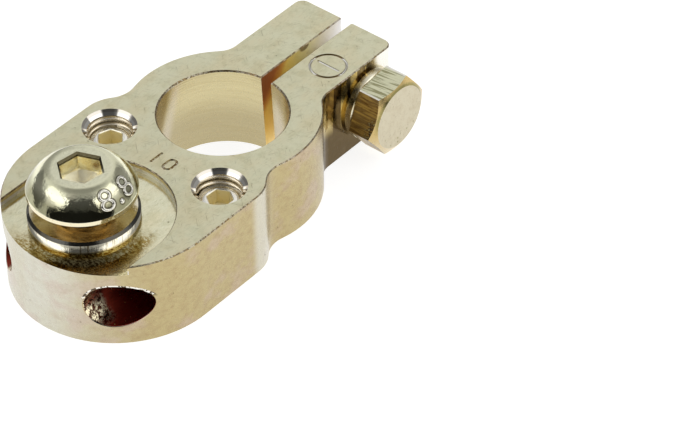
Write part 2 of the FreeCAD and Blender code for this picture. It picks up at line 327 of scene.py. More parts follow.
class MetalShader(Shader):
    """A metal's material, with its places and directions at hand in millimetres."""

    def __init__(self, name: str) -> None:
        """Make the material and read the surface's place and direction.

        Args:
            name: The material's name.
        """
        self.material = bpy.data.materials.new(name)
        self.material.use_nodes = True
        super().__init__(self.material.node_tree)
        coordinates = self.node("ShaderNodeTexCoord", {}, {})
        self.place = self.scaled(coordinates.outputs["Object"], (1 / MM, 1 / MM, 1 / MM))
        self.x, self.y, self.z = self.spread(self.place)
        self.nx, self.ny, self.nz = self.spread(coordinates.outputs["Normal"])
        self.relief: Socket | None = None

    def grains(self, size: float | Triple, detail: float = 3.0, rough: float = 0.55) -> Value:
        """Make soft random variation over the piece, with one wave's length in millimetres."""
        return self.noise(self.place, size if isinstance(size, tuple) else (size, size, size), detail, rough)

    def cells(self, size: Triple) -> Value:
        """Measure the distance to the nearest of many scattered points.

        Args:
            size: How long one cell is along each axis, in millimetres.

        Returns:
            The distance, in cells.
        """
        stretched = self.scaled(self.place, (1 / size[0], 1 / size[1], 1 / size[2]))
        feeds = {"Vector": stretched, "Scale": 1.0}
        return Value(self, self.node("ShaderNodeTexVoronoi", {}, feeds).outputs[0])

    def level(self, a: Value, b: Value) -> Socket:
        """Join two numbers into a flat place."""
        return self.node("ShaderNodeCombineXYZ", {}, {0: a, 1: b, 2: 0.0}).outputs[0]

    def offset(self, centre: Pair, direction: Pair) -> Value:
        """Measure how far a place lies past a centre, in a level direction."""
        return (self.x - centre[0]) * direction[0] + (self.y - centre[1]) * direction[1]

    def press(self, height: Value, depth: float) -> None:
        """Add relief on top of what there is.

        Args:
            height: The relief, from 0 to 1.
            depth: How high 1 stands, in millimetres.
        """
        feeds: dict[int | str, Feed] = {"Height": height, "Distance": depth * MM, "Strength": 1.0}
        if self.relief is not None:
            feeds["Normal"] = self.relief
        self.relief = self.node("ShaderNodeBump", {}, feeds).outputs[0]

    def round_from(self, a: Value, b: Value, centre: Pair) -> Value:
        """Measure the distance from an axis that stands across two directions."""
        across, up = a - centre[0], b - centre[1]
        return (across * across + up * up).root()

    def lean_out(self, axis: Pair, radius: Value, lean: Value | float, zone: Value) -> None:
        """Let the light see a surface leaning away from an upright axis, as a worn or rolled form does.

        Args:
            axis: Where the axis stands, in millimetres.
            radius: The distance from the axis.
            lean: The sine of the angle between the surface's direction and the axis.
            zone: 1 where this holds, and 0 where the surface keeps its own direction.
        """
        push = lean / radius.most(0.1)
        square = 1 - lean * lean
        height = square.most(0.0).root() if isinstance(square, Value) else math.sqrt(square)
        parts = {0: (self.x - axis[0]) * push, 1: (self.y - axis[1]) * push, 2: height}
        leaned = self.node("ShaderNodeCombineXYZ", {}, parts).outputs[0]
        before = self.relief or self.node("ShaderNodeNewGeometry", {}, {}).outputs["Normal"]
        feeds = {0: zone, 4: before, 5: leaned}
        self.relief = self.node("ShaderNodeMix", {"data_type": "VECTOR"}, feeds).outputs[1]

    def thread(self, a: Value, b: Value, run: Value, centre: Pair, pitch: float) -> Value:
        """Make a right-hand thread's relief round an axis.

        Args:
            a: The place along the first direction across the axis.
            b: The place along the second direction across it.
            run: The place along the axis.
            centre: The axis, in the first two directions.
            pitch: The distance from one turn to the next.

        Returns:
            0 at the roots and 1 at the crests.
        """
        turn = (b - centre[1]).math("ARCTAN2", a - centre[0]) / TURN
        phase = (run / pitch - turn).fraction()
        return abs(phase * 2 - 1).rise(0.1, 0.9)

    def finish(
        self, colour: Feed, roughness: Value | float, anisotropy: float = 0.0, metallic: Value | float = 1.0
    ) -> bpy.types.Material:
        """Close the material with a metal.

        Args:
            colour: The reflected colour.
            roughness: The roughness.
            anisotropy: How much the gloss is drawn out, the same all over.
            metallic: How bare the metal is, below 1 where grime or varnish dulls it.

        Returns:
            The material.
        """
        feeds: dict[int | str, Feed] = {
            "Base Color": self.opaque(colour),
            "Metallic": metallic,
            "Roughness": roughness,
            "Anisotropic": anisotropy,
        }
        if self.relief is not None:
            feeds["Normal"] = self.relief
        metal = self.node("ShaderNodeBsdfPrincipled", {}, feeds)
        self.node("ShaderNodeOutputMaterial", {}, {"Surface": metal.outputs[0]})
        return self.material


class BodyZones:
    """Where each kind of surface lies on the clamp's body, as numbers from 0 to 1."""

    def __init__(self, s: MetalShader, sizes: "ClampBody") -> None:
        """Find the zones.

        Args:
            s: The body's shader.
            sizes: Where the body's features are.
        """
        across = abs(s.x)
        up = s.nz.rise(0.93, 0.98)
        upright = abs(s.nz).rise(0.5, 0.2)
        tilted = s.nz.between(0.3, 0.9, 0.05)
        top, floor = sizes.top, sizes.floor
        self.top = up * s.z.rise(top - 0.1, top - 0.04)
        self.groove = up * s.z.between(top - 0.2, top - 0.1, 0.02)
        self.floor = up * s.z.between(floor - 0.1, floor + 0.1, 0.03)
        self.edge = tilted * s.z.rise(top - 0.35, top - 0.25)
        bore_r = s.round_from(s.x, s.y, (0, 0))
        self.bore = upright * bore_r.rise(sizes.bore_r + 0.3, sizes.bore_r + 0.2)
        slit = across.rise(sizes.slit_half + 0.45, sizes.slit_half + 0.25) * abs(s.nx).rise(0.6, 0.9)
        self.slit = slit * s.y.rise(sizes.slit_from, sizes.slit_from + 0.3)
        grub_r = s.round_from(across, s.y, sizes.grub_at)
        self.cone = grub_r.rise(sizes.cone_r + 0.15, sizes.cone_r) * tilted
        self.grub_wall = self.inside(grub_r, sizes.grub_r) * s.z.rise(8.4, 8.8) * upright
        cable_r = s.round_from(across, s.z, sizes.cable_at)
        self.cable = cable_r.rise(sizes.cable_r + 0.07, sizes.cable_r + 0.03) * s.y.rise(-7.2, -7.6)
        self.burr = self.cable * across.rise(8.9, 7.6) * s.y.rise(-29.6, -31.0)
        rim = cable_r.between(sizes.cable_r + 0.01, sizes.cable_r + 0.31, 0.04) * s.z.rise(6.8, 7.6)
        self.lug_wall = self.inside(s.round_from(s.x, s.y, sizes.lug_at), sizes.lug_r) * upright
        bolt_r = s.round_from(s.y, s.z, sizes.bolt_at)
        self.ear_wall = self.inside(bolt_r, sizes.bolt_r) * s.x.rise(-0.7, -0.9)
        outer = upright * (1 - self.bore) * (1 - self.slit) * (1 - self.cable)
        self.cable_rim = rim * outer * s.y.rise(-20.0, -21.0)
        self.side = outer * s.nx.rise(0.1, 0.9)
        self.shoulder = outer * s.y.between(*sizes.shoulder, 0.8)
        self.ear_root = outer * s.nx.rise(0.2, 0.7) * s.y.between(*sizes.ear_root, 1.0)
        self.ear_end = outer * s.nx.rise(0.5, 0.8) * s.y.rise(21.0, 22.2)
        self.minus_r = s.round_from(s.x, s.y, sizes.minus_at)
        middle_x, middle_y = sizes.recess_at
        aside = abs(s.x - middle_x).rise(sizes.recess_half + 0.1, sizes.recess_half + 0.05)
        straight = aside * s.y.rise(middle_y + 0.05, middle_y)
        recess_r = s.round_from(s.x, s.y, sizes.recess_at)
        within = recess_r.rise(sizes.recess_half + 0.25, sizes.recess_half + 0.15).most(straight)
        self.recess_wall = upright * within * s.z.rise(floor - 0.02, floor + 0.02)

    @staticmethod
    def inside(distance: Value, radius: float) -> Value:
        """Find the wall of a round hole."""
        return distance.rise(radius + 0.2, radius + 0.1)


@dataclass(frozen=True)
class BodyFinish:
    """Pale satin plating over brass, finely ground on top, with worn and tarnished places, and with painted
    reflections, highlights and shade in places.
    """

    plate: Rgb = (0.58, 0.56, 0.45)
    pale: Rgb = (0.65, 0.64, 0.55)
    top: Rgb = (0.82, 0.805, 0.59)
    top_warm: Rgb = (0.82, 0.765, 0.53)
    warm: Rgb = (0.505, 0.42, 0.22)
    blotch: Rgb = (0.34, 0.22, 0.12)
    rose: Rgb = (0.56, 0.43, 0.38)
    grey: Rgb = (0.72, 0.72, 0.65)
    cream: Rgb = (0.86, 0.77, 0.60)
    bore: Rgb = (0.51, 0.44, 0.26)
    bore_light: Rgb = (0.69, 0.61, 0.36)
    bore_painted_highlight: Rgb = (0.74, 0.67, 0.57)
    bore_dark: Rgb = (0.40, 0.30, 0.12)
    gold: Rgb = (0.85, 0.68, 0.30)
    ear_painted_shade: Rgb = (0.12, 0.08, 0.03)
    hollow: Rgb = (0.36, 0.055, 0.03)
    burr: Rgb = (0.06, 0.03, 0.015)
    groove: Rgb = (0.55, 0.52, 0.38)
    nick_and_shade: Rgb = (0.24, 0.16, 0.07)
    black: Rgb = (0.05, 0.035, 0.02)
    flake: Rgb = (1.0, 0.90, 0.62)
    chrome: Rgb = (0.88, 0.86, 0.80)
    white: Rgb = (0.97, 0.95, 0.88)
    top_stain: Rgb = (0.8, 0.8, 0.72)
    top_line: Rgb = (0.7, 0.68, 0.58)
    pit_stain: Rgb = (0.4, 0.34, 0.24)
    painted_washer_reflection: Rgb = (0.44, 0.31, 0.09)
    painted_washer_reflection_dark: Rgb = (0.12, 0.09, 0.04)
    slit_low: Rgb = (1.0, 0.84, 0.52)
    # Level direction of the painted shade on the polarity sign's ring.
    across_sign: Pair = (-0.6, 0.8)
    cone_lean: float = -0.70
    roughness: float = 0.22
    slit_length: float = 17.0
    scratch_turns: Triple = (18.0, 62.0, -40.0)
    scratch_length: float = 2.6
    scratch_width: float = 0.09
    slit_run: tuple[tuple[float, Rgb], ...] = (
        (0.0, (0.40, 0.15, 0.05)),
        (0.22, (0.56, 0.22, 0.07)),
        (0.29, (0.80, 0.45, 0.12)),
        (0.36, (1.0, 0.84, 0.28)),
        (0.56, (1.0, 0.93, 0.52)),
        (0.80, (1.0, 0.95, 0.80)),
        (1.0, (1.0, 0.98, 0.96)),
    )

    def material(self, sizes: "ClampBody") -> bpy.types.Material:
        """Build the body's material.

        Args:
            sizes: Where the body's features are.

        Returns:
            The material.
        """
        s = MetalShader("body_plating")
        zones = BodyZones(s, sizes)
        mottle = s.grains((1.6, 1.6, 1.2), 5.0, 0.65)
        grain = s.grains((0.14, 0.9, 0.14), 4.0, 0.7)
        nicks = s.grains(0.45, rough=0.7).rise(0.48, 0.56) * (1 - zones.cone)
        pits = s.cells((1.3, 1.1, 1.2)).rise(0.12, 0.05) * mottle.rise(0.5, 0.62)
        pits = pits * (1 - zones.bore) * (1 - zones.cone)
        scratch = self.scratches(s) * zones.top
        colour = self.side_colour(s, zones, mottle)
        colour = s.mixed(zones.top.most(zones.floor), colour, self.top_colour(s, mottle, grain))
        colour = self.inner_colour(s, zones, sizes, colour, mottle)
        dashes = s.grains(0.3, 2.0, 0.6).rise(0.5, 0.56)
        # Polarity sign in the groove: the ring's sides and the minus get a painted white highlight, and the
        # ring's arcs along across_sign get painted dark shade; elsewhere in the grooves the dashes are dark
        # nicks.
        sign = zones.minus_r.rise(sizes.minus_r + 0.5, sizes.minus_r + 0.3)
        away = abs(s.offset(sizes.minus_at, self.across_sign)).rise(1.65, 1.9) * sign
        colour = s.layered(
            colour,
            (zones.groove * (sign * (1 - away)), self.white),
            (zones.groove * (1 - sign) * (0.35 + dashes * 0.5), self.groove),
            (zones.groove * (dashes * (1 - sign)).most(away * 0.95), self.nick_and_shade),
            (zones.edge * (0.35 + nicks * 0.6), self.nick_and_shade),
        )
        colour = s.shaded((pits * 0.6).most(scratch * 0.5), colour, self.pit_stain)
        # Painted reflection of the washer on the recess floor in front of the lug screw: golden specks
        # nearer, a dark middle further out. The floor there is polished as well, which lowers its roughness.
        from_lug = s.round_from(s.x, s.y, sizes.lug_at)
        polish_and_painted_reflection = from_lug.rise(sizes.polished_r + 1.5, sizes.polished_r) * zones.floor
        reflection_flecks = s.grains((0.45, 0.22, 0.3), rough=0.7).rise(0.46, 0.52)
        ahead = s.offset(sizes.lug_at, PAINTED_LIGHT_AHEAD)
        beside = abs(s.offset(sizes.lug_at, PAINTED_LIGHT_ALONG))
        colour = s.shaded(polish_and_painted_reflection * ahead.rise(1.5, 5.0) * (0.3 + reflection_flecks * 0.7), colour, self.painted_washer_reflection)
        middle = ahead.rise(7.0, 8.0) * beside.rise(5.5, 1.5)
        colour = s.shaded(polish_and_painted_reflection * middle * (0.6 + reflection_flecks * 0.4), colour, self.painted_washer_reflection_dark)

        rough = self.roughness + mottle * 0.1 + zones.top * (0.14 + grain * 0.12) - zones.floor * 0.08
        rough = rough - zones.cone * 0.24 + zones.slit * 0.25 - zones.ear_root * 0.16 - polish_and_painted_reflection * 0.1
        rough = rough + zones.cable * 0.2 - zones.burr * 0.25 + zones.groove * 0.1 + pits * 0.2
        self.relief(s, zones, sizes, (mottle, grain, nicks, pits, scratch))
        return s.finish(colour, rough.most(0.04), 0.15, 1 - zones.slit * 0.7 - zones.recess_wall * 0.7)

    def side_colour(self, s: MetalShader, zones: BodyZones, mottle: Value) -> Socket:
        """Colour the outer walls: pale in front, with a painted warm-toned reflection where they face right
        and painted shade on the ear near the bolt.

        Args:
            s: The body's shader.
            zones: The body's zones.
            mottle: Its blotches.

        Returns:
            The colour's socket.
        """
        cloud = s.grains((8.0, 8.0, 7.0), 4.0, 0.6)
        streak = s.grains((0.9, 0.9, 0.7), 6.0, 0.75)
        front = s.nx.between(-0.75, 0.45, 0.3)
        rosy = s.grains((6.0, 6.0, 4.5), rough=0.6).rise(0.5, 0.66)
        # Painted shade on the ear's outer face near the bolt.
        ear_painted_shade_share = zones.ear_root * (0.86 + mottle * 0.3) * s.z.rise(14.5, 11.0)
        bars = s.grains((1.4, 1.1, 14.0), 1.0, 0.5).rise(0.5, 0.58) * s.z.rise(4.5, 7.5)
        return s.layered(
            self.plate,
            (front * 0.8, self.pale),
            # Painted warm reflection on the walls that face right; the warm cloud and the blotches are laid
            # on more strongly there too.
            (zones.side, self.warm),
            (cloud.rise(0.38, 0.66) * (0.25 + zones.side * 0.3), self.warm),
            (rosy * 0.4, self.rose),
            (streak.rise(0.4, 0.75) * (0.14 + zones.side * 0.28), self.blotch),
            (mottle.rise(0.46, 0.74) * (0.12 + zones.side * 0.18), self.blotch),
            (zones.shoulder * 0.6, self.grey),
            (ear_painted_shade_share.least(1.0), self.ear_painted_shade),
            (zones.ear_root * bars * 0.7, self.gold),
            # Painted pale reflection on the ear's outer face past the bolt.
            (zones.ear_end * 0.9, self.white),
        )

    def top_colour(self, s: MetalShader, mottle: Value, grain: Value) -> Socket:
        """Colour the ground top face.

        Args:
            s: The body's shader.
            mottle: Its blotches.
            grain: The lines of its grinding.

        Returns:
            The colour's socket.
        """
        patch = s.grains((3.0, 5.0, 3.0), 4.0, 0.6)
        colour = s.mixed(patch.rise(0.35, 0.7), self.top, self.top_warm)
        colour = s.shaded(mottle.rise(0.45, 0.7) * 0.5, colour, self.top_stain)
        return s.shaded(grain.rise(0.48, 0.3) * 0.5, colour, self.top_line)

    def inner_colour(
        self, s: MetalShader, zones: BodyZones, sizes: "ClampBody", colour: Socket, mottle: Value
    ) -> Socket:
        """Colour the bores, the slit and the cones round the grub screws.

        Args:
            s: The body's shader.
            zones: The body's zones.
            sizes: Where the body's features are.
            colour: The colour so far.
            mottle: The body's blotches.

        Returns:
            The colour's socket.
        """
        colour = s.mixed(zones.bore, colour, self.bore_colour(s, sizes))
        # The slit's run of colour brightens to nearly white towards its far end, which is painted light;
        # slit_low paints shade on its lower part.
        along = (s.y - sizes.slit_from - 0.3) / self.slit_length
        along = along + (sizes.top - s.z) * 0.045 + (mottle - 0.5) * 0.08
        colour = s.mixed(zones.slit, colour, s.ramp(along, list(self.slit_run)))
        colour = s.shaded(zones.slit * s.z.rise(8.5, 3.0) * 0.8, colour, self.slit_low)
        smudge = s.round_from(s.y, s.z * 1.6, (17.4, 19.6)).rise(1.1, 0.7)
        flakes = s.grains(0.5, 4.0, 0.75)
        torn = s.grains(0.5, rough=0.6).rise(0.47, 0.52)
        sparks = s.cells((0.9, 0.9, 0.9)).rise(0.14, 0.08)
        return s.layered(
            colour,
            (zones.slit * smudge * 0.85, self.nick_and_shade),
            (zones.recess_wall * 0.9, self.recess_colour(s, sizes)),
            (zones.lug_wall, self.gold),
            (zones.grub_wall, self.cream),
            (zones.cable, self.hollow),
            (zones.burr * 0.9, self.burr),
            (zones.burr * flakes.rise(0.47, 0.52), self.flake),
            (zones.cable_rim * 0.9, s.mixed(torn, self.black, self.white)),
            # Painted golden glints inside the cable hole.
            (zones.cable * sparks * 0.8, self.gold),
            (zones.cone, self.chrome),
        )

    def bore_colour(self, s: MetalShader, sizes: "ClampBody") -> Socket:
        """Colour the post bore: golden, lighter above, with a painted pale highlight band and painted brown
        shade at the ends on both sides.

        Args:
            s: The body's shader.
            sizes: Where the body's features are.

        Returns:
            The colour's socket.
        """
        turned = s.grains((6.0, 6.0, 0.5), rough=0.6).rise(0.4, 0.7)
        along = s.offset((0.0, 0.0), PAINTED_LIGHT_ALONG) / sizes.bore_r
        left = along + (sizes.top - s.z) * 0.022
        # Near both ends across the bore, a pale painted highlight band; at the ends themselves, painted brown
        # shade. The turned rings are the metal's own marks.
        ends = left.rise(-0.72, -0.80).most(along.rise(0.84, 0.90))
        return s.layered(
            self.bore_light,
            (s.z.rise(9.5, 4.0), self.bore),
            (turned * 0.15, self.bore_dark),
            (left.between(-0.74, -0.62, 0.06) * 0.45, self.bore_painted_highlight),
            (along.between(0.70, 0.84, 0.05) * 0.5, self.bore_painted_highlight),
            (ends * 0.85, self.bore_dark),
        )

    def recess_colour(self, s: MetalShader, sizes: "ClampBody") -> Socket:
        """Colour the recess's wall: a painted bright reflection at its foot, golden above and dark along its
        edge.

        Args:
            s: The body's shader.
            sizes: Where the body's features are.

        Returns:
            The colour's socket.
        """
        height = (s.z - sizes.floor) / (sizes.top - sizes.floor)
        ragged = s.grains((0.8, 0.8, 0.3), rough=0.7)
        # Painted bright reflection at the wall's foot, golden above.
        wall = s.mixed(height.rise(0.42, 0.56), self.white, self.gold)
        return s.mixed(height.rise(0.78, 0.86) * ragged.rise(0.38, 0.5), wall, self.nick_and_shade)

    def scratches(self, s: MetalShader) -> Value:
        """Draw short fine scratches in three directions.

        Args:
            s: The body's shader.

        Returns:
            1 on a scratch and 0 off it.
        """
        total: Value | None = None
        for number, degrees in enumerate(self.scratch_turns):
            turn = math.radians(degrees)
            along = s.offset((0.0, 0.0), (math.cos(turn), math.sin(turn)))
            across = s.offset((0.0, 0.0), (-math.sin(turn), math.cos(turn)))
            line = s.level(along / self.scratch_length + number * 7.3, across / self.scratch_width)
            mark = s.noise(line, (1.0, 1.0, 1.0), 1.0, 0.5).rise(0.7, 0.76)
            total = mark if total is None else total.most(mark)
        return total

    def relief(
        self, s: MetalShader, zones: BodyZones, sizes: "ClampBody", marks: tuple[Value, ...]
    ) -> None:
        """Press the grain, the wear, the grooves' round floors and the threads into the surface.

        Args:
            s: The body's shader.
            zones: Where each kind of surface lies.
            sizes: Where the body's features are.
            marks: The mottle, the grain, the nicks, the pits and the scratches.
        """
        mottle, grain, nicks, pits, scratch = marks
        for side in Side:
            axis = (side.value * sizes.grub_at[0], sizes.grub_at[1])
            here = zones.cone * (s.x * side.value).rise(-0.5, 0.5)
            s.lean_out(axis, s.round_from(s.x, s.y, axis), self.cone_lean, here)
        fine = s.grains(0.2, 2.0, 0.6)
        plain = 1 - zones.cone
        s.press(grain * zones.top, 0.010)
        s.press(fine * plain * (1 - zones.bore), 0.006)
        s.press(mottle * (1 - zones.top) * plain * (1 - zones.bore * 0.85), 0.03)
        s.press(1 - pits * (1 - zones.bore), 0.05)
        s.press(1 - scratch, 0.02)
        s.press(1 - nicks * zones.edge, 0.08)
        ring = (abs(zones.minus_r - sizes.minus_r) / (sizes.mark_stroke / 2)).least(1.0)
        bar = (abs(s.y - sizes.minus_at[1]) / (sizes.mark_stroke / 2)).least(1.0)
        s.press(ring.least(bar) * zones.groove, 0.11)
        turning = (s.z * (TURN / 0.42)).sine() * 0.5 + 0.5
        s.press(turning * zones.bore, 0.004)
        lug_thread = s.thread(s.x, s.y, s.z, sizes.lug_at, M8_PITCH) * zones.lug_wall
        grub_thread = s.thread(abs(s.x), s.y, s.z, sizes.grub_at, M6_PITCH) * zones.grub_wall
        ear_thread = s.thread(s.y, s.z, s.x, sizes.bolt_at, M6_PITCH) * zones.ear_wall
        s.press(lug_thread + grub_thread + ear_thread, 0.35)


@dataclass(frozen=True)
class DomeFinish:
    """Bright nickel on the lug screw, golden in its socket and brown on its thread, with painted shade on the
    lower ball, on the socket's far lip and round the figures.
    """

    plate: Rgb = (0.82, 0.82, 0.60)
    crown: Rgb = (0.76, 0.75, 0.56)
    cream: Rgb = (0.86, 0.78, 0.56)
    # Colour of the painted dark shade on the lower ball.
    low: Rgb = (0.26, 0.25, 0.14)
    gold: Rgb = (1.0, 0.93, 0.62)
    shade: Rgb = (0.86, 0.72, 0.34)
    grey: Rgb = (0.90, 0.89, 0.86)
    shank: Rgb = (0.42, 0.27, 0.10)
    # Colour of the painted shade on the socket's far lip and round the figures.
    dirt_and_shade: Rgb = (0.10, 0.085, 0.045)
    ring_painted_shade: Rgb = (0.6, 0.6, 0.5)
    speck_stain: Rgb = (0.3, 0.25, 0.15)
    pit_lean: float = -0.12

    def material(self, sizes: "LugScrew") -> bpy.types.Material:
        """Build the lug screw's material.

        Args:
            sizes: Where the screw's features are.

        Returns:
            The material.
        """
        s = MetalShader("lug_screw_nickel")
        radius = s.round_from(s.x, s.y, sizes.axis)
        above = s.z - sizes.seat
        head = above.rise(-0.05, 0.05)
        mouth_z = sizes.head_height - sizes.bevel
        hollow = radius.rise(sizes.mouth_r, sizes.mouth_r - 0.05) * head
        hollow = hollow * above.rise(mouth_z + 0.01, mouth_z - 0.05)
        pit = hollow * above.rise(sizes.floor_height + 0.06, sizes.floor_height - 0.04) * s.nz.rise(0.2, 0.5)
        rim = head * radius.rise(6.95, 7.02) * above.rise(sizes.rim_height + 0.05, sizes.rim_height - 0.05)
        crown = (1 - hollow) * radius.rise(sizes.crown_r + 1.0, sizes.crown_r - 0.1) * above.rise(2.7, 3.2)
        outside = radius.rise(sizes.mouth_r + 0.08, sizes.mouth_r + 0.16)
        ball = outside * above.rise(sizes.rim_height + 0.02, sizes.rim_height + 0.12)
        lean = radius / sizes.ball_r * radius.rise(sizes.crown_r - 0.9, sizes.crown_r + 0.5)
        s.lean_out(sizes.axis, radius, lean, ball)
        s.lean_out(sizes.axis, radius, self.pit_lean, pit)

        cloud = s.grains(3.0, rough=0.6)
        peel = s.grains(0.8, rough=0.6)
        speck = s.grains(0.3, rough=0.7)
        smear = s.grains((0.5, 2.5, 0.8), 4.0, 0.65)
        mouth = radius.rise(sizes.mouth_r + 0.06, sizes.mouth_r) * above.rise(3.3, 3.38)
        mouth = mouth * s.nz.rise(0.97, 0.9)
        lip = hollow * above.rise(2.98, 3.08) * s.nz.rise(0.5, 0.3)
        back = s.offset(sizes.axis, PAINTED_LIGHT_BACK)
        # Painted dark shade on the lower ball near the rim, stronger where the cloud is.
        low = radius.rise(5.5, 6.5) * above.rise(0.62, 0.75)
        colour = s.layered(
            self.plate,
            (cloud.rise(0.35, 0.75) * 0.5, self.cream),
            (crown * 0.8, self.crown),
            (low * (0.5 + cloud * 0.6), self.low),
        )
        # Painted shade in a ring between the crown and the ball.
        colour = s.shaded(radius.between(3.9, 5.0, 0.5) * (1 - hollow) * 0.4, colour, self.ring_painted_shade)
        colour = s.layered(
            colour,
            (rim, self.cream),
            (1 - head, self.shank),
            (hollow, s.mixed(smear.rise(0.42, 0.62) * 0.8, self.gold, self.shade)),
            (pit, self.grey),
            # Painted shade on the socket's mouth and lip on the far side.
            (mouth.most(lip) * back.rise(-0.6, 0.2), self.dirt_and_shade),
        )
        colour = s.shaded(speck.rise(0.62, 0.72) * 0.5, colour, self.speck_stain)
        # Painted shade in a dark outline round the raised figures.
        colour = s.mixed(self.figure_edge(s, sizes, radius) * above.rise(0.7, 0.8) * 0.9, colour, self.dirt_and_shade)
        rough = 0.05 + smear.rise(0.5, 0.8) * 0.1 + speck.rise(0.6, 0.75) * 0.12
        rough = rough + hollow * 0.12 + crown * 0.12
        s.press(cloud, 0.05)
        s.press(peel * (1 - hollow) * (1 - crown * 0.6), 0.035)
        s.press(smear, 0.006)
        s.press(speck * (1 - hollow) * cloud.rise(0.3, 0.6), 0.006)
        s.press(s.thread(s.x, s.y, s.z, sizes.axis, M8_PITCH) * (1 - head) * radius.rise(4.1, 4.0), 0.4)
        return s.finish(colour, rough, 0.0, 1 - hollow * 0.15 - pit * 0.3)

    def figure_edge(self, s: MetalShader, sizes: "LugScrew", radius: Value) -> Value:
        """Find the ball's surface close round the raised figures, where a dark outline of painted shade goes.

        Args:
            s: The screw's shader.
            sizes: Where the screw's features are.
            radius: The distance from the screw's axis.

        Returns:
            1 along the figures and 0 away from them.
        """
        turn = (s.x - sizes.axis[0]).math("ARCTAN2", sizes.axis[1] - s.y)
        slope = radius.math("ARCTAN2", s.z - sizes.seat - sizes.ball_z)
        up = (math.radians(sizes.figure_slope) - slope) * sizes.ball_r
        reach = sizes.ball_r * math.sin(math.radians(sizes.figure_slope))
        near: Value | None = None
        for degrees in sizes.figure_turns:
            aside = (turn - math.radians(degrees)) * (reach / sizes.figure_widening)
            for lift in (sizes.figure_loop, -sizes.figure_loop):
                across = (aside * aside + (up - lift) * (up - lift)).root()
                gap = abs(across - sizes.figure_loop)
                near = gap if near is None else near.least(gap)
        point_slope = math.radians(sizes.point_slope)
        low = (point_slope - slope) * sizes.ball_r
        aside = (turn - math.radians(sizes.point_turn)) * (sizes.ball_r * math.sin(point_slope))
        point = (aside * aside + low * low).root() - (sizes.point_r - sizes.stroke / 2)
        return near.least(point).rise(sizes.stroke / 2 + 0.16, sizes.stroke / 2 + 0.06)


@dataclass(frozen=True)
class FigureFinish:
    """Bright nickel on the raised figures, with dark specks of grime on them."""

    plate: Rgb = (0.85, 0.83, 0.74)
    dirt_and_shade: Rgb = (0.30, 0.26, 0.18)

    def material(self) -> bpy.types.Material:
        """Build the figures' material.

        Returns:
            The material.
        """
        s = MetalShader("figure_nickel")
        speck = s.grains(0.3, rough=0.7)
        colour = s.mixed(speck.rise(0.55, 0.75) * 0.7, self.plate, self.dirt_and_shade)
        s.press(speck, 0.02)
        return s.finish(colour, 0.07 + speck * 0.1)


@dataclass(frozen=True)
class WasherFinish:
    """Bright yellowish nickel on a spring washer."""

    plate: Rgb = (0.84, 0.80, 0.64)
    gold: Rgb = (0.72, 0.58, 0.30)
    stain: Rgb = (0.26, 0.19, 0.09)
    dark: Rgb = (0.012, 0.015, 0.022)
    roughness: float = 0.10
    lean: float = 0.86
    lean_change: float = -0.30

    def material(self, name: str, upright: "LugScrew | None" = None) -> bpy.types.Material:
        """Build one washer's material.

        Args:
            name: The material's name.
            upright: The screw that the washer lies under, if its axis stands up.

        Returns:
            The material.
        """
        s = MetalShader(name)
        cloud = s.grains(2.5, rough=0.6)
        streak = s.grains((0.35, 0.35, 6.0), rough=0.7)
        speck = s.grains(0.35, 4.0, 0.7)
        colour = s.mixed(cloud.rise(0.35, 0.7) * 0.7, self.plate, self.gold)
        if upright is not None:
            radius = s.round_from(s.x, s.y, upright.axis)
            outer = radius.rise(upright.washer_r - 0.5, upright.washer_r - 0.4)
            side = outer * abs(s.nz).rise(0.5, 0.3)
            corner = outer * s.nz.between(0.3, 0.9, 0.1)
            lift = (s.z - upright.washer_floor) / upright.washer_height
            foot = side * lift.rise(0.36, 0.22)
            s.lean_out(upright.axis, radius, self.lean + lift * self.lean_change, side)
            # Painted dark reflection along the side's top outer corner.
            colour = s.layered(colour, (side, self.plate), (corner * 0.9, self.dark), (foot, self.gold))
            colour = s.shaded(side * streak.rise(0.54, 0.66) * 0.8, colour, self.stain)
        colour = s.mixed(speck.rise(0.6, 0.72) * 0.6, colour, self.stain)
        rough = self.roughness + streak * 0.1 + speck.rise(0.55, 0.75) * 0.15
        s.press(cloud, 0.04)
        s.press(streak, 0.02)
        s.press(speck, 0.005)
        return s.finish(colour, rough)


@dataclass(frozen=True)
class GrubFinish:
    """Satin nickel on a grub screw, golden in its socket."""

    plate: Rgb = (0.88, 0.86, 0.78)
    gold: Rgb = (1.0, 0.90, 0.56)
    shade: Rgb = (0.40, 0.33, 0.22)
    lean: float = 0.75
    ring_step: float = 0.3

    def material(self, sizes: "GrubScrew") -> bpy.types.Material:
        """Build one grub screw's material.

        Args:
            sizes: Where the screw is.

        Returns:
            The material.
        """
        s = MetalShader(f"{sizes.node}_nickel")
        radius = s.round_from(s.x, s.y, sizes.axis)
        hollow = radius.rise(1.8, 1.7) * s.z.rise(sizes.top - 0.02, sizes.top - 0.1)
        wall = abs(s.nz).rise(0.5, 0.2) * (1 - hollow)
        speck = s.grains(0.4, 4.0, 0.7)
        rings = (radius * (TURN / self.ring_step)).sine() * 0.5 + 0.5
        worn = speck.rise(0.5, 0.8) * 0.4 * (1 - hollow)
        colour = s.layered(self.plate, (worn, self.gold), (hollow, self.gold))
        colour = s.shaded(speck.rise(0.6, 0.72) * 0.5, colour, self.shade)
        face = s.nz.rise(0.5, 0.8) * (1 - hollow) * radius.rise(1.7, 1.8)
        s.lean_out(sizes.axis, radius, radius.rise(1.75, 3.0) * self.lean, face)
        s.press(rings * (1 - hollow) * (1 - wall), 0.002)
        s.press(speck, 0.006)
        s.press(s.thread(s.x, s.y, s.z, sizes.axis, M6_PITCH) * wall, 0.3)
        return s.finish(colour, 0.1 + speck * 0.06 + hollow * 0.2, 0.0, 1 - hollow * 0.7)


